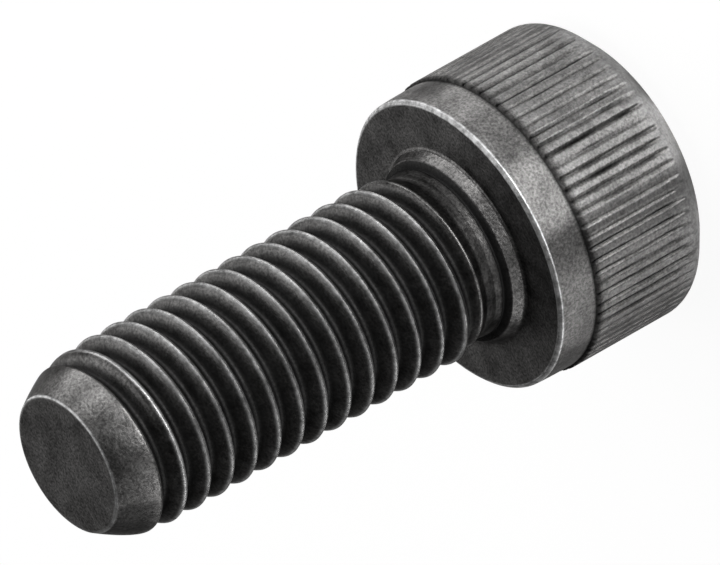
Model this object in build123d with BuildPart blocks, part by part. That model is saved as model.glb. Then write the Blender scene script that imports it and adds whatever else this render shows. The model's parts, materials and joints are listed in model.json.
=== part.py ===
from build123d import *
import math
import os

os.makedirs("parts", exist_ok=True)

# Cheese head screw, all sizes in millimetres.
# It stands on the top of its head: the head's top face lies at z = 0 and the
# tip of the shank points up along +Z. The thread is right-handed.

# Head
HEAD_DIA = 16.1           # over the lands of the knurl
HEAD_HEIGHT = 10.0
BAND_HEIGHT = 2.3         # plain band between the knurl and the bearing face
RIM_BREAK = 0.15          # broken edge between band and bearing face
TOP_EDGE_HEIGHT = 1.15    # sloped edge round the top face, measured along the axis
TOP_EDGE_WIDTH = 1.3      # the same edge, measured across
TOP_EDGE_BLEND = 0.9      # rounding on both sides of that edge

# Straight knurl
KNURL_COUNT = 78
KNURL_STEP = 0.15         # rise of the knurl's lands over the plain band

# Hexagon socket
SOCKET_FLATS = 8.0        # across flats
SOCKET_DEPTH = 5.2        # to the end of the flats
SOCKET_CONE = 0.6         # further depth of the shallow cone at the bottom
MOUTH_MARGIN = 0.15       # the mouth's countersink beyond the hexagon's corners

# Shank
SHANK_LENGTH = 25.0       # from the bearing face to the tip
THREAD_DIA = 9.9          # over the crests
PITCH = 1.5
UNDERHEAD_FILLET = 0.7
NECK_LENGTH = 1.9         # plain neck, fillet included, before the thread's run-out
TIP_CONE_LENGTH = 2.15
TIP_EDGE_BREAK = 0.12
CREST_AT_FRONT = 0.7      # a crest passes the -Y side this far from the bearing face
GROOVE_TO_TIP = 1.5       # from the end of the thread's groove to the tip face
THREAD_STATIONS = 36      # flat facets round one turn of the thread

# Head radii and levels
head_r = HEAD_DIA / 2
band_r = head_r - KNURL_STEP
knurl_depth = 0.85 * KNURL_STEP
knurl_root_r = head_r - knurl_depth
bearing_z = HEAD_HEIGHT
band_z = bearing_z - BAND_HEIGHT
knurl_z = band_z - 1.4 * KNURL_STEP
knurl_end_z = TOP_EDGE_HEIGHT + TOP_EDGE_BLEND / 2

# Shank radii: the neck has the diameter of the blank that the thread is rolled
# from, and the tip face is a little narrower than the thread's core
crest_r = THREAD_DIA / 2
core_r = crest_r - 0.58 * PITCH
neck_r = crest_r - 0.3 * PITCH
tip_r = core_r - 0.22 * PITCH
tip_cone_r = crest_r - 0.12 * PITCH

# Levels along the shank
tip_z = bearing_z + SHANK_LENGTH
neck_z = bearing_z + NECK_LENGTH
crest_z = neck_z + 1.4 * PITCH
tip_cone_z = tip_z - TIP_CONE_LENGTH
tip_taper_z = tip_cone_z - 1.1 * PITCH

# Socket radii
flat_r = SOCKET_FLATS / 2
corner_r = flat_r / math.cos(math.radians(30))
mouth_r = corner_r + MOUTH_MARGIN
cone_r = flat_r - MOUTH_MARGIN
mouth_depth = (mouth_r - cone_r) * math.tan(math.radians(30))

# Thread groove: it climbs out over the first turn beside the neck, and over the
# last half turn on the tip cone
flank_slope = math.tan(math.radians(30))
root_half = PITCH / 12
min_depth = 0.1
groove_start_z = neck_z + 0.3 * PITCH
groove_end_z = tip_z - GROOVE_TO_TIP
groove_steps = math.floor(THREAD_STATIONS * (groove_end_z - groove_start_z) / PITCH)
front_groove_z = bearing_z + CREST_AT_FRONT + PITCH / 2
start_azimuth = 360 * (groove_start_z - front_groove_z) / PITCH - 90
thread_base_r = neck_r - 0.02
thread_base_z = neck_z - 0.5


def blank_radius(z):
    """Radius of the shank over the crests."""
    levels = [
        (neck_z, thread_base_r),
        (crest_z, crest_r),
        (tip_taper_z, crest_r),
        (tip_cone_z, tip_cone_r),
        (tip_z, tip_r),
    ]
    for (low_z, low_r), (high_z, high_r) in zip(levels, levels[1:]):
        if z <= high_z:
            return low_r + (high_r - low_r) * (z - low_z) / (high_z - low_z)
    return tip_r


def station_point(step, radius, z):
    azimuth = math.radians(start_azimuth + 360 * step / THREAD_STATIONS)
    return Vector(radius * math.cos(azimuth), radius * math.sin(azimuth), z)


def groove_point(step, edge):
    """Edges of the groove at a station: -2 and 2 at the crests, -1 and 1 at the root."""
    turn = step / THREAD_STATIONS
    z = groove_start_z + PITCH * turn
    turns_left = (groove_steps - step) / THREAD_STATIONS
    deep = min(1, turn, 2 * turns_left)
    bottom = core_r + (blank_radius(z) - min_depth - core_r) * (1 - deep)
    half = root_half * (0.4 + 0.6 * deep)
    if abs(edge) == 1:
        return station_point(step, bottom, z + edge * half)
    side = edge / 2
    reach = half
    for trial in range(30):
        reach = half + (blank_radius(z + side * reach) - bottom) * flank_slope
    return station_point(step, blank_radius(z + side * reach), z + side * reach)


def facets(*corners):
    """One facet where the corners lie in a plane, else triangles from the first corner."""
    first, second, third = corners[:3]
    normal = (second - first).cross(third - first).normalized()
    if all(abs(normal.dot(corner - first)) < 1e-7 for corner in corners):
        return [Face(Wire.make_polygon(corners))]
    return [
        Face(Wire.make_polygon([first, corners[k], corners[k + 1]]))
        for k in range(1, len(corners) - 1)
    ]


def thread_faces():
    """The closed skin of the threaded length, from inside the neck to the tip face."""
    last = groove_steps
    turn = THREAD_STATIONS
    skin = []

    # Groove: two flanks and a flat root, and the land to the next turn
    for step in range(last):
        for edge, after in ((-2, -1), (-1, 1), (1, 2)):
            skin += facets(
                groove_point(step, edge),
                groove_point(step + 1, edge),
                groove_point(step + 1, after),
                groove_point(step, after),
            )
        if step < last - turn:
            skin += facets(
                groove_point(step, 2),
                groove_point(step + 1, 2),
                groove_point(step + 1 + turn, -2),
                groove_point(step + turn, -2),
            )
    for step in (0, last):
        skin += facets(*[groove_point(step, edge) for edge in (-2, -1, 1, 2)])

    # Run-out beside the neck and its seam
    for step in range(turn - 1):
        skin += facets(
            groove_point(step, -2),
            groove_point(step + 1, -2),
            station_point(step + 1, thread_base_r, neck_z),
            station_point(step, thread_base_r, neck_z),
        )
    skin += facets(
        groove_point(turn - 1, -2),
        station_point(turn - 1, thread_base_r, neck_z),
        station_point(0, thread_base_r, neck_z),
        groove_point(0, -2),
        groove_point(0, 2),
        groove_point(turn, -2),
    )

    # Tip cone and its seam
    break_z = tip_z - TIP_EDGE_BREAK
    break_r = blank_radius(break_z)
    for step in range(last - turn + 1, last):
        skin += facets(
            groove_point(step, 2),
            groove_point(step + 1, 2),
            station_point(step + 1, break_r, break_z),
            station_point(step, break_r, break_z),
        )
    skin += facets(
        groove_point(last - turn + 1, 2),
        station_point(last - turn + 1, break_r, break_z),
        station_point(last, break_r, break_z),
        groove_point(last, 2),
        groove_point(last, -2),
        groove_point(last - turn, 2),
    )

    # Broken tip edge, tip face, and the end inside the neck
    face_r = tip_r - TIP_EDGE_BREAK
    for step in range(turn):
        for low_r, low_z, high_r, high_z in (
            (break_r, break_z, face_r, tip_z),
            (thread_base_r, thread_base_z, thread_base_r, neck_z),
        ):
            skin += facets(
                station_point(step, low_r, low_z),
                station_point(step + 1, low_r, low_z),
                station_point(step + 1, high_r, high_z),
                station_point(step, high_r, high_z),
            )
    for radius, z in ((face_r, tip_z), (thread_base_r, thread_base_z)):
        skin += facets(*[station_point(step, radius, z) for step in range(turn)])
    return skin


with BuildPart() as screw:
    # Head and neck as one turned body
    with BuildSketch(Plane.XZ) as outline:
        with BuildLine():
            Polyline(
                (0, 0),
                (head_r - TOP_EDGE_WIDTH, 0),
                (head_r, TOP_EDGE_HEIGHT),
                (head_r, knurl_z),
                (band_r, band_z),
                (band_r, bearing_z),
                (neck_r, bearing_z),
                (neck_r, neck_z),
                (0, neck_z),
                close=True,
            )
        make_face()
        top_edge = outline.vertices().filter_by_position(Axis.Y, 0, TOP_EDGE_HEIGHT)
        fillet(top_edge.sort_by(Axis.X)[-2:], TOP_EDGE_BLEND)
        under_head = outline.vertices().filter_by_position(Axis.Y, bearing_z, bearing_z)
        fillet(under_head.sort_by(Axis.X)[0], UNDERHEAD_FILLET)
        rim = outline.vertices().filter_by_position(Axis.Y, bearing_z, bearing_z)
        chamfer(rim.sort_by(Axis.X)[-1], RIM_BREAK)
    revolve(axis=Axis.Z)

    # Straight knurl: sharp grooves pressed into the head, open at the step to the
    # band and ending just before the rounded top edge
    with BuildSketch(Plane.XY.offset(band_z)):
        with PolarLocations(knurl_root_r, KNURL_COUNT):
            Polygon(
                (0, 0),
                (2 * knurl_depth, -2 * knurl_depth),
                (2 * knurl_depth, 2 * knurl_depth),
                align=None,
            )
    extrude(amount=knurl_end_z - band_z, mode=Mode.SUBTRACT)

    # Hexagon socket, with a countersunk mouth and a shallow cone at the bottom
    with BuildSketch(Plane.XY):
        RegularPolygon(flat_r, 6, major_radius=False, rotation=30)
    extrude(amount=SOCKET_DEPTH, mode=Mode.SUBTRACT)
    with BuildSketch(Plane.XZ):
        with BuildLine():
            Polyline(
                (0, 0),
                (mouth_r, 0),
                (cone_r, mouth_depth),
                (cone_r, SOCKET_DEPTH),
                (0, SOCKET_DEPTH + SOCKET_CONE),
                close=True,
            )
        make_face()
    revolve(axis=Axis.Z, mode=Mode.SUBTRACT)

    # Threaded length, standing in the neck
    add(Solid(Shell(Face.sew_faces(thread_faces())[0])))

screw.part.label = "screw"
export_step(screw.part, "parts/screw.step")
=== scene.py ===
import json
import math
import random

import bmesh
import bpy
from mathutils import Euler, Matrix, Vector


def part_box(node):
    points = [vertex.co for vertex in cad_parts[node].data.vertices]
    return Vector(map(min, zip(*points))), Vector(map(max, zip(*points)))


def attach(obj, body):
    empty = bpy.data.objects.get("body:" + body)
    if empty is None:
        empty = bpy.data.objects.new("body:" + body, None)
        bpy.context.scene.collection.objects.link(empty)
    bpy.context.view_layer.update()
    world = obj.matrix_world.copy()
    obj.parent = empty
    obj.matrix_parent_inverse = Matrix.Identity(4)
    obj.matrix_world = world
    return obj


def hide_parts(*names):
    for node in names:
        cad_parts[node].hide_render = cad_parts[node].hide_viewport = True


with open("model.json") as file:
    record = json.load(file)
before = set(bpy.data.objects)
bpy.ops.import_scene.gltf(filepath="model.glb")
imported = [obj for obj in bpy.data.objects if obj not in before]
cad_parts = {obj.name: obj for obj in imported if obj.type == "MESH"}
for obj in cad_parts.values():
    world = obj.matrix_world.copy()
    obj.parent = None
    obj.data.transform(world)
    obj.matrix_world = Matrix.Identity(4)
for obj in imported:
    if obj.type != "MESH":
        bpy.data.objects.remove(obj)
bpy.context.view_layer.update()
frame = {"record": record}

MM = 0.001

# ---------------------------------------------------------------------------
# Sizes, in millimetres. The screw stands on its head: Z is 0 at the top face and
# rises to the tip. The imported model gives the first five, and the photo the rest.
# ---------------------------------------------------------------------------
low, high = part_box("screw")
mounts = {mount["name"]: mount for mount in frame["record"]["mounts"]}

HEAD_R = (high.x - low.x) / 2 / MM                       # over the knurl's lands
BEARING_Z = mounts["bearing_face"]["pos_m"][2] / MM
TIP_Z = high.z / MM
CREST_R = mounts["thread"]["dims"]["r_mm"]               # over the thread's crests
SOCKET_DEPTH = mounts["hex_socket"]["dims"]["length_mm"]

# Head
KNURL_STEP = 0.15         # rise of the knurl's lands over the plain band
BAND_HEIGHT = 2.3
BAND_R = HEAD_R - KNURL_STEP
BAND_Z = BEARING_Z - BAND_HEIGHT
RIM_R = BAND_R - 0.04     # the band draws in a little towards its rim
RIM_BREAK = 0.16
TOP_EDGE_HEIGHT = 1.15
TOP_EDGE_WIDTH = 1.3
TOP_EDGE_BLEND = 0.9

# Knurl
TEETH = 78
TOOTH_STEPS = [-0.5, -0.34, -0.25, -0.17, -0.08, 0.0, 0.08, 0.17, 0.25, 0.34]
COLUMNS_PER_TOOTH = len(TOOTH_STEPS)
GROOVE_DEPTH = 0.12
DEPTH_SHARES = (0.45, 1.1)       # least and most of that depth
GROOVE_SHIFTS = (-0.07, 0.07)    # sideways, over the tooth pitch
GROOVE_ENDS = (0.9, 2.2)         # levels at which the grooves run out near the top
GROOVE_SHARE = 0.27       # half a groove's width over the tooth pitch
GROOVE_LEAD = 0.5         # how far before that level a groove starts to deepen
GROOVE_FADE = 1.3         # length over which it deepens
GROOVE_LEAST = 0.1        # share of its depth that it has before
GROOVE_WAVE = 0.22        # share by which its depth varies along it
GROOVE_WAVES = 1.7        # radians of that wave to a millimetre
# painted shade in the knurl's grooves, by their depth
KNURL_GROOVE_SHADE = 0.65
RIDGE_WEAR = 0.12

# Socket
FLAT_R = 4.0
CORNER_R = FLAT_R / math.cos(math.pi / 6)
MOUTH_R = CORNER_R + 0.15
MOUTH_SLOPE = math.tan(math.pi / 6)
MOUTH_WEAR = 0.5
MOUTH_EDGE_WEAR = 0.6
MOUTH_ROW = 0.12          # width of the top face's first ring of faces
SOCKET_CONE = 0.6         # depth of the drilled cone in the socket's floor
CONE_R = FLAT_R - 0.15
CONE_ROW_R = 0.4          # the cone's last ring before its point
CONE_ROW_DEPTH = 0.9 * SOCKET_CONE

# Shank
PITCH = 1.5
CORE_R = CREST_R - 0.58 * PITCH
NECK_R = CREST_R - 0.3 * PITCH
NECK_Z = BEARING_Z + 1.3         # from here the thread's groove can cut in
SHOULDER_Z = BEARING_Z + 1.9     # from here the neck widens to the crests
FULL_CREST_Z = BEARING_Z + 2.95
TIP_CONE_LENGTH = 2.15
TIP_CONE_Z = TIP_Z - TIP_CONE_LENGTH
TIP_CONE_R = CREST_R - 0.12 * PITCH
TIP_TAPER_Z = TIP_CONE_Z - 1.1 * PITCH
TIP_R = CORE_R - 0.25 * PITCH
TIP_CONE_CROWN = 1.25     # 1 would be a straight cone

# Thread: right-handed
CREST_AT_FRONT_Z = BEARING_Z + 0.76  # the crest line's level on the camera's side
CREST_ROUNDING = 0.34
RUN_OUT_Z = BEARING_Z + 1.35     # level where the groove has climbed out
FULL_DEPTH_Z = BEARING_Z + 2.95  # level from which it has its full depth
GROOVE_END_Z = TIP_Z - 1.5       # level where it has climbed out on the tip cone
THREAD_START_Z = NECK_Z + 0.02   # the rows that follow the helix lie between these
THREAD_END_Z = TIP_Z - 0.16

# Thread wear, partly a painted highlight on the crests' edges, and painted shade in the roots
EDGE_WEAR_DEPTH = 0.17    # how far down from the crest it is rubbed bright, partly a painted highlight
CREST_TOP_WEAR = 0.15     # wear on the crest's middle, less than at its edges
CREST_TOP_DEPTH = 0.02
CREST_EDGE_DEPTH = 0.04
ROOT_SHADE_START = 0.28          # share of the groove's depth at which the painted shade begins
ROOT_SHADE_SPAN = 0.45
ROOT_PAINTED_SHADE = 0.85

# Painted shade on one side of the tip cone, at angles from the camera's side
TIP_SHADE_MIDDLE = math.radians(-88)
TIP_SHADE_HALF = math.radians(42)
TIP_SHADE_FADE = math.radians(9)
TIP_SHADE_START = 0.5         # length over which it sets in behind the cone's start
TIP_SHADE_DEPTH = -0.55

# Columns of the skin's rings, each a whole share of the head's
HEAD_COLUMNS = TEETH * COLUMNS_PER_TOOTH
SOCKET_COLUMNS = HEAD_COLUMNS // 5
SHANK_COLUMNS = HEAD_COLUMNS // 6
FRONT = -math.pi / 2      # azimuth of the camera's side
LEVEL_TOLERANCE = 0.005
MATTE_FROM_R = NECK_R + 0.95     # the bearing face beyond the collar is rough


# ---------------------------------------------------------------------------
# The skin: one closed surface grown ring by ring
# ---------------------------------------------------------------------------
points = []
wear_and_painted_light = []        # above 0 is rubbed bright, partly a painted highlight on edges; below 0 is painted shade
matte = []       # 1 on the end faces, which are rougher
faces = []


def add_point(radius, azimuth, z, worn=0.0):
    """Adds a point of the skin with its wear and painted light and gives its index."""
    points.append((radius * math.cos(azimuth), radius * math.sin(azimuth), z))
    wear_and_painted_light.append(worn)
    on_bearing = abs(z - BEARING_Z) < LEVEL_TOLERANCE and radius > MATTE_FROM_R
    on_tip = TIP_Z - z < LEVEL_TOLERANCE
    matte.append(1.0 if on_bearing or on_tip else 0.0)
    return len(points) - 1


def even_azimuths(columns):
    """Azimuths of evenly spaced columns round the axis."""
    return [2 * math.pi * k / columns for k in range(columns)]


def ring(azimuths, radius_at, z_at, worn=0.0):
    """One closed ring; radius_at and z_at are numbers or functions of the azimuth."""
    made = []
    for azimuth in azimuths:
        radius = radius_at(azimuth) if callable(radius_at) else radius_at
        z = z_at(azimuth) if callable(z_at) else z_at
        made.append(add_point(radius, azimuth, z, worn))
    return made


def join(wide, narrow):
    """Faces between two rings; the wide one has a whole multiple of the other's points."""
    share = len(wide) // len(narrow)
    for k in range(len(narrow)):
        here, after = narrow[k], narrow[(k + 1) % len(narrow)]
        run = [wide[(k * share + step) % len(wide)] for step in range(share + 1)]
        if share == 1:
            faces.append((run[0], run[1], after, here))
            continue
        middle = share // 2
        for step in range(share):
            corner = here if step < middle else after
            faces.append((run[step], run[step + 1], corner))
        faces.append((run[middle], after, here))


def cap(edge, z):
    """Closes a ring with a fan to a point on the axis."""
    centre = add_point(0, 0, z)
    for k, here in enumerate(edge):
        faces.append((here, edge[(k + 1) % len(edge)], centre))


def blended(corners, steps):
    """A profile through (radius, z, blend radius, wear and painted light) corners, each
    rounded in steps.
    """
    line = []
    for k, (radius, z, blend, worn) in enumerate(corners):
        if blend == 0 or k in (0, len(corners) - 1):
            line.append((radius, z, worn))
            continue
        here = Vector((radius, z))
        back = (Vector(corners[k - 1][:2]) - here).normalized()
        on = (Vector(corners[k + 1][:2]) - here).normalized()
        half = back.angle(on) / 2
        reach = blend / math.tan(half)
        middle = here + (back + on).normalized() * blend / math.sin(half)
        start, end = here + back * reach - middle, here + on * reach - middle
        turn = math.atan2(start.x * end.y - start.y * end.x, start.dot(end))
        for step in range(steps + 1):
            spoke = Matrix.Rotation(turn * step / steps, 2) @ start
            line.append((middle.x + spoke.x, middle.y + spoke.y, worn))
    return line


# ---------------------------------------------------------------------------
# Head
# ---------------------------------------------------------------------------
# Each groove of the knurl has its own depth, shift, end and wave
rng = random.Random(12)
tooth_depth = [GROOVE_DEPTH * rng.uniform(*DEPTH_SHARES) for _ in range(TEETH)]
tooth_shift = [rng.uniform(*GROOVE_SHIFTS) for _ in range(TEETH)]
tooth_end = [rng.uniform(*GROOVE_ENDS) for _ in range(TEETH)]
tooth_wave = [rng.uniform(0, 2 * math.pi) for _ in range(TEETH)]


def knurl_azimuths():
    """Azimuths of the head's columns, close together across each groove."""
    line = []
    for tooth in range(TEETH):
        for step in TOOTH_STEPS:
            shift = tooth_shift[tooth] if step > TOOTH_STEPS[0] else 0
            line.append(2 * math.pi * (tooth + step + shift) / TEETH)
    return line


def knurl_radius(column, z):
    """Radius of the knurled surface at a column and level of the head's rings."""
    tooth, step = divmod(column, COLUMNS_PER_TOOTH)
    reach = abs(TOOTH_STEPS[step]) / GROOVE_SHARE
    if reach >= 1:
        return HEAD_R
    fade = min(1, max(GROOVE_LEAST, (z - tooth_end[tooth] + GROOVE_LEAD) / GROOVE_FADE))
    wave = 1 + GROOVE_WAVE * math.sin(GROOVE_WAVES * z + tooth_wave[tooth])
    section = 0.5 + 0.5 * math.cos(math.pi * reach)
    return HEAD_R - tooth_depth[tooth] * fade * wave * section


head_azimuths = knurl_azimuths()


def head_ring(radius, z, worn):
    """A ring of the head's side, cut back to the knurl's grooves, with painted shade in them
    by their depth.
    """
    made = []
    for column, azimuth in enumerate(head_azimuths):
        cut = min(radius, knurl_radius(column, z))
        sunk = (radius - cut) / GROOVE_DEPTH
        ridge = RIDGE_WEAR if sunk == 0 and radius == HEAD_R else 0
        made.append(add_point(cut, azimuth, z, worn + ridge - KNURL_GROOVE_SHADE * sunk))
    return made


# From the top face over the sloped edge, the knurl and the band to the bearing face
head_profile = blended(
    [
        (HEAD_R - TOP_EDGE_WIDTH - 0.7, 0, 0, 0),
        (HEAD_R - TOP_EDGE_WIDTH, 0, TOP_EDGE_BLEND, 0),
        (HEAD_R, TOP_EDGE_HEIGHT, TOP_EDGE_BLEND, 0.3),
        *[(HEAD_R, z, 0, 0) for z in (2.4, 2.9, 3.5, 4.2, 4.9, 5.6)],
        (HEAD_R, 6.2, 0, 0.05),
        (HEAD_R, BAND_Z - 0.9, 0, 0.1),
        (HEAD_R, BAND_Z - 0.42, 0, 0.05),
        # painted shade on the step from the knurl down to the band
        (HEAD_R, BAND_Z - 0.12, 0.04, -0.55),
        (BAND_R, BAND_Z + 0.02, 0.05, -0.85),
        (BAND_R, BAND_Z + 0.09, 0, -0.5),
        (BAND_R, BAND_Z + 0.22, 0, 0),
        (BAND_R, BAND_Z + 0.8, 0, 0),
        (BAND_R - 0.01, BEARING_Z - 0.9, 0, 0),
        (RIM_R + 0.005, BEARING_Z - RIM_BREAK - 0.10, 0, 0),
        # the rim's edge rubbed bright, partly a painted highlight
        (RIM_R, BEARING_Z - RIM_BREAK, 0.13, 1.2),
        (RIM_R - RIM_BREAK, BEARING_Z, 0.10, 0.9),
        (BAND_R - 0.30, BEARING_Z, 0, 0),
        (BAND_R - 1.0, BEARING_Z, 0, 0),
    ],
    steps=5,
)

# Socket, from the middle of its floor to its mouth
socket_azimuths = even_azimuths(SOCKET_COLUMNS)


def hexagon(azimuth):
    """Distance from the axis to the hexagon's flat at an azimuth."""
    off = (azimuth + math.pi / 6) % (math.pi / 3) - math.pi / 6
    return FLAT_R / math.cos(off)


def mouth_edge(azimuth):
    """Level at which the mouth's sloped edge meets the hexagon."""
    return (MOUTH_R - hexagon(azimuth)) * MOUTH_SLOPE


previous = ring(socket_azimuths, CONE_ROW_R, SOCKET_DEPTH + CONE_ROW_DEPTH)
cap(previous, SOCKET_DEPTH + SOCKET_CONE)
for radius, z, worn in (
    (CONE_R, SOCKET_DEPTH, 0.0),
    (hexagon, SOCKET_DEPTH, 0.0),
    (hexagon, SOCKET_DEPTH * 0.66, 0.0),
    (hexagon, SOCKET_DEPTH * 0.33, 0.0),
    (hexagon, mouth_edge, MOUTH_EDGE_WEAR),
    (MOUTH_R, 0, MOUTH_WEAR),
    (MOUTH_R + MOUTH_ROW, 0, 0.0),
):
    made = ring(socket_azimuths, radius, z, worn)
    join(previous, made)
    previous = made

# Side of the head, from the top face to the bearing face
for radius, z, worn in head_profile:
    made = head_ring(radius, z, worn)
    join(made, previous)
    previous = made

# ---------------------------------------------------------------------------
# Shank
# ---------------------------------------------------------------------------
shank_azimuths = even_azimuths(SHANK_COLUMNS)

# From the bearing face over the flared collar and its slope, darkened with painted shade, to
# the neck
under_head = blended(
    [
        (BAND_R - 1.3, BEARING_Z, 0, 0),
        (NECK_R + 1.4, BEARING_Z, 0, 0),
        (NECK_R + 0.76, BEARING_Z, 0.22, 0),
        (NECK_R + 0.46, BEARING_Z + 0.61, 0.07, -0.1),
        # painted shade on the collar's slope
        (NECK_R + 0.40, BEARING_Z + 0.66, 0, -0.8),
        (NECK_R + 0.03, BEARING_Z + 0.83, 0.12, -0.95),
        (NECK_R + 0.05, BEARING_Z + 0.93, 0.20, -0.1),
        (NECK_R + 0.04, BEARING_Z + 1.10, 0, 0.0),
        (NECK_R, NECK_Z, 0, 0.0),
    ],
    steps=6,
)
for radius, z, worn in under_head:
    made = ring(shank_azimuths, radius, z, worn)
    join(previous, made)
    previous = made

BLANK_LEVELS = [
    (SHOULDER_Z, NECK_R),
    (FULL_CREST_Z, CREST_R),
    (TIP_TAPER_Z, CREST_R),
    (TIP_CONE_Z, TIP_CONE_R),
]


def blank_radius(z):
    """Radius of the shank before the thread's grooves."""
    if z <= SHOULDER_Z:
        return NECK_R
    if z >= TIP_CONE_Z:
        along = (z - TIP_CONE_Z) / (TIP_Z - TIP_CONE_Z)
        return TIP_CONE_R - (TIP_CONE_R - TIP_R) * along ** TIP_CONE_CROWN
    for (z0, r0), (z1, r1) in zip(BLANK_LEVELS, BLANK_LEVELS[1:]):
        if z <= z1:
            return r0 + (r1 - r0) * (z - z0) / (z1 - z0)


# Section of the groove: 60 degree flanks on a rounded root
CREST_HALF = 0.082 * PITCH
FLANK = math.tan(math.radians(30))
ROOT_HALF = PITCH / 2 - CREST_HALF - (CREST_R - CORE_R) * FLANK
ROOT_ROUNDING = ROOT_HALF * math.sqrt(3)


def groove_rise(across):
    """Height over the groove's bottom, this far from its middle along the axis."""
    across = abs(across)
    round_end = ROOT_ROUNDING * math.sin(math.pi / 3)
    if across < round_end:
        return ROOT_ROUNDING - math.sqrt(ROOT_ROUNDING ** 2 - across ** 2)
    return ROOT_ROUNDING / 2 + (across - round_end) / FLANK


def soft_min(a, b, blend):
    """The smaller of two values, with a rounded change from one to the other."""
    share = min(1, max(0, 0.5 + 0.5 * (b - a) / blend))
    return b + (a - b) * share - blend * share * (1 - share)


def thread_radius(azimuth, z):
    """Radius of the threaded shank at an azimuth and level."""
    turn = (azimuth - FRONT) / (2 * math.pi)
    groove = CREST_AT_FRONT_Z + PITCH * (turn + 0.5)
    middle = groove + PITCH * round((z - groove) / PITCH)
    climb = (middle - RUN_OUT_Z) / (FULL_DEPTH_Z - RUN_OUT_Z)
    fade = (GROOVE_END_Z - middle) / (PITCH / 2)
    deep = min(1, max(0, min(climb, fade)))
    bottom = CORE_R + (blank_radius(z) + CREST_ROUNDING - CORE_R) * (1 - deep)
    cut = bottom + groove_rise(z - middle)
    return soft_min(blank_radius(z), cut, CREST_ROUNDING)


def thread_wear_and_light(radius, z):
    """Rubbed bright along the crest's edges, partly a painted highlight, with painted shade at
    the root.
    """
    drop = CREST_R - radius
    if drop < EDGE_WEAR_DEPTH:
        at_edge = min(1, max(0, drop - CREST_TOP_DEPTH) / CREST_EDGE_DEPTH)
        return (1 - drop / EDGE_WEAR_DEPTH) * (CREST_TOP_WEAR + at_edge)
    sunk = (blank_radius(z) - radius) / (CREST_R - CORE_R)
    return -ROOT_PAINTED_SHADE * min(1, max(0, (sunk - ROOT_SHADE_START) / ROOT_SHADE_SPAN))


def tip_side_shade(phi, z):
    """Painted shade on one side of the tip cone; phi is 0 at the camera's."""
    off = abs((phi - TIP_SHADE_MIDDLE + math.pi) % (2 * math.pi) - math.pi)
    inside = min(1, max(0, (TIP_SHADE_HALF - off) / TIP_SHADE_FADE))
    ahead = min(1, max(0, (z - TIP_CONE_Z) / TIP_SHADE_START))
    return TIP_SHADE_DEPTH * inside * ahead


# Steps over one pitch, from a groove's middle to the next: close together round
# the crest and the root
HALF_STEPS = [0.07, 0.14, 0.22, 0.32, 0.42, 0.50, 0.555, 0.595, 0.625, 0.655, 0.70]
PITCH_STEPS = (
    [0.0] + HALF_STEPS + [PITCH / 2] + [PITCH - step for step in reversed(HALF_STEPS)]
)


def thread_grid():
    """Rows that follow the helix, stopped at both ends of the thread."""
    turns = math.ceil((THREAD_END_Z - THREAD_START_Z) / PITCH) + 2
    first = CREST_AT_FRONT_Z - PITCH / 2
    while first > THREAD_START_Z - PITCH:
        first -= PITCH
    rows = []
    for turn in range(turns + 1):
        for step in PITCH_STEPS:
            row = []
            for k, azimuth in enumerate(shank_azimuths):
                z = first + turn * PITCH + step + PITCH * k / SHANK_COLUMNS
                z = min(THREAD_END_Z, max(THREAD_START_Z, z))
                front_azimuth = azimuth + FRONT
                radius = thread_radius(front_azimuth, z)
                worn = thread_wear_and_light(radius, z) + tip_side_shade(azimuth, z)
                row.append(add_point(radius, front_azimuth, z, worn))
            rows.append(row)
    return rows


# The seam column comes back one pitch higher, so the last column joins the first
# column's point one pitch on. Points held at the same end level are merged later.
rows = thread_grid()
per_pitch = len(PITCH_STEPS)
last = SHANK_COLUMNS - 1
for index in range(len(rows) - 1):
    for k in range(last):
        faces.append((rows[index][k], rows[index][k + 1],
                      rows[index + 1][k + 1], rows[index + 1][k]))
    if index + 1 + per_pitch < len(rows):
        faces.append((rows[index][last], rows[index + per_pitch][0],
                      rows[index + 1 + per_pitch][0], rows[index + 1][last]))

front_azimuths = [azimuth + FRONT for azimuth in shank_azimuths]


def thread_ring(z):
    """A level ring on the thread, at the azimuths of the thread's columns."""
    return ring(front_azimuths, lambda azimuth: thread_radius(azimuth, z), z)


def places_ahead(ring_a, ring_b):
    """How many places on in ring_b its nearest point to ring_a's first one lies."""
    here = Vector(points[ring_a[0]])
    return min(range(len(ring_b)), key=lambda k: (Vector(points[ring_b[k]]) - here).length)


# Neck to the thread's first row, whose columns start on the camera's side
start_ring = thread_ring(THREAD_START_Z)
ahead = places_ahead(previous, start_ring)
join(previous, start_ring[ahead:] + start_ring[:ahead])

# Tip: from the thread's last row over the cone's worn edge, partly a painted highlight, to the
# face
previous = thread_ring(THREAD_END_Z)
tip_profile = [
    (blank_radius(TIP_Z - 0.10), TIP_Z - 0.10, 0.0),
    (blank_radius(TIP_Z - 0.05), TIP_Z - 0.05, 0.9),
    (TIP_R - 0.02, TIP_Z - 0.012, 1.0),
    (TIP_R - 0.07, TIP_Z, 0.3),
    (TIP_R - 0.16, TIP_Z, 0.0),
    (TIP_R * 0.6, TIP_Z, 0.0),
    (TIP_R * 0.25, TIP_Z, 0.0),
]
for radius, z, worn in tip_profile:
    made = ring(front_azimuths, radius, z, worn)
    join(previous, made)
    previous = made
cap(previous, TIP_Z)

# ---------------------------------------------------------------------------
# Mesh
# ---------------------------------------------------------------------------
MERGE_DISTANCE = 1e-7     # metres, as is the next one
LEAST_EDGE = 1e-8
SHARP_ANGLE = math.radians(38)

mesh = bpy.data.meshes.new("screw_skin")
mesh.from_pydata([Vector(p) * MM for p in points], [], faces)
for attribute_name, values in (("wear_and_painted_light", wear_and_painted_light), ("matte", matte)):
    attribute = mesh.attributes.new(attribute_name, "FLOAT", "POINT")
    attribute.data.foreach_set("value", values)

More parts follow.
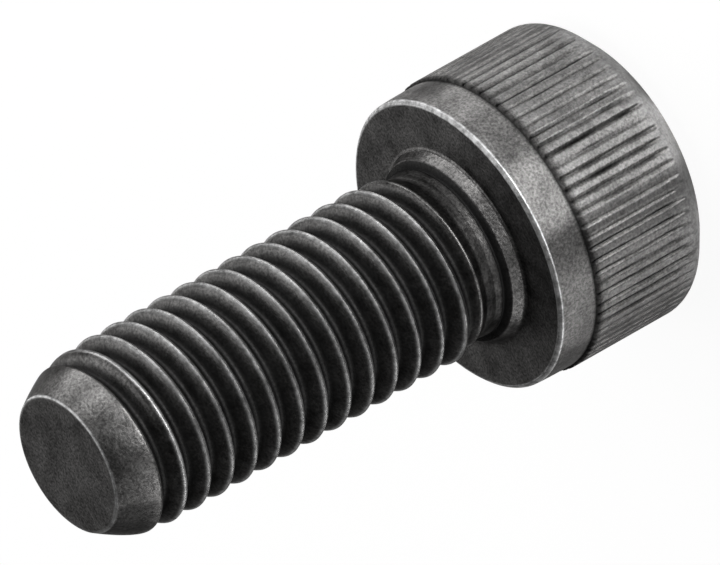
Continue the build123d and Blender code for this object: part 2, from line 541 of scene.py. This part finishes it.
# The thread's rows close up here where they were stopped at the same level
work = bmesh.new()
work.from_mesh(mesh)
bmesh.ops.remove_doubles(work, verts=work.verts, dist=MERGE_DISTANCE)
bmesh.ops.dissolve_degenerate(work, edges=work.edges, dist=LEAST_EDGE)
bmesh.ops.delete(work, geom=[v for v in work.verts if not v.link_faces], context="VERTS")
bmesh.ops.recalc_face_normals(work, faces=work.faces)
open_edges = [e for e in work.edges if len(e.link_faces) != 2]
print("skin", len(work.faces), "faces", len(open_edges), "open edges",
      "volume mm3", round(work.calc_volume() / MM ** 3, 1))
work.to_mesh(mesh)
work.free()
mesh.shade_smooth()
mesh.set_sharp_from_angle(angle=SHARP_ANGLE)

screw = bpy.data.objects.new("screw_skin", mesh)
bpy.context.collection.objects.link(screw)


# ---------------------------------------------------------------------------
# Material: black oxide on steel
# ---------------------------------------------------------------------------
OXIDE_TINT = (1, 0.98, 0.965)
EDGE_TINT = (0.4, 0.4, 0.4, 1)
MARK_TURN = 0.25                 # of a whole turn, so that the marks run round the axis
CLOUD_RANGE = (0.3, 0.7)         # of the noise; tone and roughness follow it
GRAIN_SCALE = 7000.0
GRAIN_RANGE = (0.35, 0.7)
GRAIN_TONES = (0.6, 1.5)         # what the grain multiplies the tone by
GRAIN_BUMP = 0.5
GRAIN_HEIGHT = 0.00002           # metres
PATCH_SCALE = 2400.0
PATCH_RANGE = (0.35, 0.65)
PATCH_SHARES = (0.35, 1.25)      # what the patches multiply the wear by
WEAR_STRENGTH = 0.75
WORN_TONE = 0.38
# painted shade: how strongly and how dark the values below 0 darken the surface
PAINTED_SHADE_STRENGTH = 1.0
PAINTED_SHADE_TONE = 0.008
MATTE_ROUGHNESS = 0.16           # added on the end faces
USED_ROUGHNESS = 0.09            # added wherever the wear and painted light is not 0
PAINTED_SHADE_ROUGHNESS = 0.20             # further added where shade is painted
UNMARKED_FROM_Z = BEARING_Z - RIM_BREAK - 0.05  # turning marks end at the head's rim


def node(tree, kind, **values):
    """A new node with its properties and its sockets' constants set by name."""
    made = tree.nodes.new(kind)
    for name, value in values.items():
        if name in made.inputs:
            made.inputs[name].default_value = value
        else:
            setattr(made, name, value)
    return made


def calculated(tree, operation, *values, clamp=False):
    """A math node's result; each value is a number or an output to link."""
    made = node(tree, "ShaderNodeMath", operation=operation, use_clamp=clamp)
    for socket, value in zip(made.inputs, values):
        if isinstance(value, float):
            socket.default_value = value
        else:
            tree.links.new(value, socket)
    return made.outputs[0]


def mapped(tree, source, source_range, result_range):
    """The source, held inside one range and brought to another."""
    made = tree.nodes.new("ShaderNodeMapRange")
    tree.links.new(source, made.inputs["Value"])
    made.inputs["From Min"].default_value, made.inputs["From Max"].default_value = source_range
    made.inputs["To Min"].default_value, made.inputs["To Max"].default_value = result_range
    return made.outputs["Result"]


def ramp(tree, source, positions, tones, tint=(1, 1, 1)):
    """A colour between two tones, by where the source lies between two positions."""
    made = tree.nodes.new("ShaderNodeValToRGB")
    for element, position, tone in zip(made.color_ramp.elements, positions, tones):
        element.position = position
        element.color = (*(tone * part for part in tint), 1)
    tree.links.new(source, made.inputs["Fac"])
    return made.outputs["Color"]


def mixed(tree, share, first, second, blend_type="MIX"):
    """Two colours mixed; the share and the second colour may be constants."""
    made = node(tree, "ShaderNodeMix", data_type="RGBA", blend_type=blend_type)
    for socket, value in zip((made.inputs[0], made.inputs[6], made.inputs[7]),
                             (share, first, second)):
        if isinstance(value, (float, tuple)):
            socket.default_value = value
        else:
            tree.links.new(value, socket)
    return made.outputs[2]


def black_oxide(name, tones, cloud_scale, roughness, anisotropic):
    """Grained black oxide; values above 0 show bare steel, partly a painted highlight, and
    values below 0 are painted shade.
    """
    material = bpy.data.materials.new(name)
    material.use_nodes = True
    tree = material.node_tree
    link = tree.links.new
    shader = tree.nodes["Principled BSDF"]
    shader.inputs["Metallic"].default_value = 1.0
    shader.inputs["Specular Tint"].default_value = EDGE_TINT
    shader.inputs["Anisotropic"].default_value = anisotropic
    if anisotropic:
        shader.inputs["Anisotropic Rotation"].default_value = MARK_TURN
        marks = node(tree, "ShaderNodeTangent", direction_type="RADIAL", axis="Z")
        link(marks.outputs["Tangent"], shader.inputs["Tangent"])

    place = tree.nodes.new("ShaderNodeTexCoord").outputs["Object"]

    def noise(scale, detail, fine):
        """Noise fixed to the screw; fine is the weight of its finer layers."""
        made = node(tree, "ShaderNodeTexNoise", Scale=scale, Detail=detail, Roughness=fine)
        link(place, made.inputs["Vector"])
        return made.outputs["Fac"]

    clouds = noise(cloud_scale, 5.0, 0.65)
    grain = noise(GRAIN_SCALE, 2.0, 0.6)
    patches = noise(PATCH_SCALE, 3.0, 0.7)
    worn = node(tree, "ShaderNodeAttribute", attribute_name="wear_and_painted_light").outputs["Fac"]
    ends = node(tree, "ShaderNodeAttribute", attribute_name="matte").outputs["Fac"]

    # Tone: clouds and grain, then bare steel in patches, partly a painted highlight, then
    # painted shade
    shade = ramp(tree, clouds, CLOUD_RANGE, tones, OXIDE_TINT)
    speck = ramp(tree, grain, GRAIN_RANGE, GRAIN_TONES)
    tone = mixed(tree, 1.0, shade, speck, "MULTIPLY")
    broken = mapped(tree, patches, PATCH_RANGE, PATCH_SHARES)
    uneven = calculated(tree, "MULTIPLY", worn, broken)
    bare = calculated(tree, "MULTIPLY", uneven, WEAR_STRENGTH, clamp=True)
    tone = mixed(tree, bare, tone, (WORN_TONE, WORN_TONE, WORN_TONE, 1))
    painted_shade = calculated(tree, "MULTIPLY", worn, -PAINTED_SHADE_STRENGTH, clamp=True)
    tone = mixed(tree, painted_shade, tone, (PAINTED_SHADE_TONE, PAINTED_SHADE_TONE, PAINTED_SHADE_TONE, 1))
    link(tone, shader.inputs["Base Color"])

    rough = mapped(tree, clouds, CLOUD_RANGE, roughness)
    used = calculated(tree, "ABSOLUTE", worn)
    for source, amount in (
        (ends, MATTE_ROUGHNESS),
        (used, USED_ROUGHNESS),
        (painted_shade, PAINTED_SHADE_ROUGHNESS),
    ):
        rough = calculated(tree, "MULTIPLY_ADD", source, amount, rough, clamp=True)
    link(rough, shader.inputs["Roughness"])

    bump = node(tree, "ShaderNodeBump", Strength=GRAIN_BUMP, Distance=GRAIN_HEIGHT)
    link(grain, bump.inputs["Height"])
    link(bump.outputs["Normal"], shader.inputs["Normal"])
    return material


# The head has turning marks round its axis; the bearing face and the shank have none
turned = black_oxide(
    "black_oxide_turned",
    tones=(0.09, 0.20),
    cloud_scale=520.0,
    roughness=(0.36, 0.48),
    anisotropic=1.0,
)
rolled = black_oxide(
    "black_oxide_rolled",
    tones=(0.04, 0.085),
    cloud_scale=900.0,
    roughness=(0.30, 0.40),
    anisotropic=0.0,
)
mesh.materials.append(turned)
mesh.materials.append(rolled)
for face in mesh.polygons:
    face.material_index = 1 if face.center.z > UNMARKED_FROM_Z * MM else 0
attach(screw, "root")
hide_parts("screw")

# ---------------------------------------------------------------------------
# Floor and world
# ---------------------------------------------------------------------------
FLOOR_SIZE = 6.0          # metres
FLOOR_WHITE = 0.93        # share of plain white in what is seen of the floor
FLOOR_TONE = (0.85, 0.85, 0.85, 1)
WORLD_LEVELS = (0.50, 0.11)      # strength at the horizon and overhead
WORLD_FADE = (0.15, 0.62)        # heights of a direction between which it changes


def seen_rays(tree):
    """1 for camera, glossy and transmission rays."""
    rays = tree.nodes.new("ShaderNodeLightPath").outputs
    either = calculated(tree, "MAXIMUM", rays["Is Camera Ray"], rays["Is Glossy Ray"])
    return calculated(tree, "MAXIMUM", either, rays["Is Transmission Ray"])


floor_mesh = bpy.data.meshes.new("floor")
half = FLOOR_SIZE / 2
corners = [(-half, -half), (half, -half), (half, half), (-half, half)]
floor_mesh.from_pydata([(x, y, low.z) for x, y in corners], [], [(0, 1, 2, 3)])
floor = bpy.data.objects.new("floor", floor_mesh)
bpy.context.collection.objects.link(floor)
paper = bpy.data.materials.new("pale_floor")
paper.use_nodes = True
tree = paper.node_tree
tree.nodes.clear()
output = tree.nodes.new("ShaderNodeOutputMaterial")
lit = node(tree, "ShaderNodeBsdfDiffuse", Color=FLOOR_TONE)
plain = node(tree, "ShaderNodeEmission", Color=(1, 1, 1, 1), Strength=1.0)
whiteness = calculated(tree, "MULTIPLY", seen_rays(tree), FLOOR_WHITE)
mix = tree.nodes.new("ShaderNodeMixShader")
tree.links.new(whiteness, mix.inputs[0])
tree.links.new(lit.outputs[0], mix.inputs[1])
tree.links.new(plain.outputs[0], mix.inputs[2])
tree.links.new(mix.outputs[0], output.inputs["Surface"])
floor_mesh.materials.append(paper)

world = bpy.data.worlds.new("studio")
bpy.context.scene.world = world
world.use_nodes = True
tree = world.node_tree
tree.nodes.clear()
output = tree.nodes.new("ShaderNodeOutputWorld")
sky = tree.nodes.new("ShaderNodeBackground")
toward = tree.nodes.new("ShaderNodeTexCoord")
axes = tree.nodes.new("ShaderNodeSeparateXYZ")
tree.links.new(toward.outputs["Generated"], axes.inputs[0])
strength = mapped(tree, axes.outputs["Z"], WORLD_FADE, WORLD_LEVELS)
tree.links.new(strength, sky.inputs["Strength"])
tree.links.new(sky.outputs[0], output.inputs["Surface"])

# ---------------------------------------------------------------------------
# Lamps
# ---------------------------------------------------------------------------
LAMP_DISTANCE = 0.5       # metres, from the screw's middle
aim = Vector((0, 0, (low.z + high.z) / 2))
# name, azimuth, elevation, width, height, level. Azimuth 0 is the camera's side and
# 90 is +X; width and height are in metres; level is the brightness as seen.
LAMPS = [
    ("key", 4, 4.5, 0.48, 0.085, 32.0),
    ("side", 93, 6.5, 0.32, 0.11, 11.0),
    ("left", -86, 1.5, 0.52, 0.045, 15.0),
    ("left_front", -56, 13, 0.20, 0.12, 3.0),
    ("right_low", 148, 1.5, 0.30, 0.045, 12.0),
    ("side_high", 54, 19, 0.25, 0.08, 17.0),
    ("right_high", 112, 60, 0.50, 0.50, 2.7),
    ("back", 152, 30, 0.34, 0.24, 2.6),
]


def softbox(name, azimuth, elevation, width, height, level):
    """A plain soft lamp that faces the screw's middle."""
    lamp = bpy.data.lights.new(name, "AREA")
    lamp.shape = "RECTANGLE"
    lamp.size, lamp.size_y = width, height
    lamp.energy = level * math.pi * width * height
    made = bpy.data.objects.new(name, lamp)
    bpy.context.collection.objects.link(made)
    a, e = math.radians(azimuth), math.radians(elevation)
    way = Vector((math.sin(a) * math.cos(e), -math.cos(a) * math.cos(e), math.sin(e)))
    made.location = aim + way * LAMP_DISTANCE
    made.rotation_euler = (made.location - aim).to_track_quat("Z", "Y").to_euler()
    made.visible_camera = False


for lamp in LAMPS:
    softbox(*lamp)

# ---------------------------------------------------------------------------
# Camera
# ---------------------------------------------------------------------------
CAMERA_ELEVATION = 29.0
CAMERA_ROLL = -119.37
LENS = 1300.0             # so long that the view is nearly parallel
SENSOR = 36.0
FRAME_WIDTH = 35.48       # millimetres of the object across the picture
AIM_RIGHT = -4.77         # the picture's middle from the bearing face's middle,
AIM_UP = -1.82            # in millimetres along the picture's own axes
CLIP = (0.05, 20)

camera_data = bpy.data.cameras.new("camera")
camera_data.lens = LENS
camera_data.sensor_width = SENSOR
camera = bpy.data.objects.new("camera", camera_data)
bpy.context.collection.objects.link(camera)
turn = Euler((math.radians(90 - CAMERA_ELEVATION), 0, 0)).to_matrix()
turn = turn @ Matrix.Rotation(math.radians(CAMERA_ROLL), 3, "Z")
right, up, back = turn.col[0], turn.col[1], turn.col[2]
middle = Vector((0, 0, BEARING_Z)) + right * AIM_RIGHT + up * AIM_UP
camera.location = (middle + back * FRAME_WIDTH * LENS / SENSOR) * MM
camera.rotation_euler = turn.to_euler()
camera_data.clip_start, camera_data.clip_end = CLIP
bpy.context.scene.camera = camera
bpy.context.scene.view_settings.view_transform = "Standard"
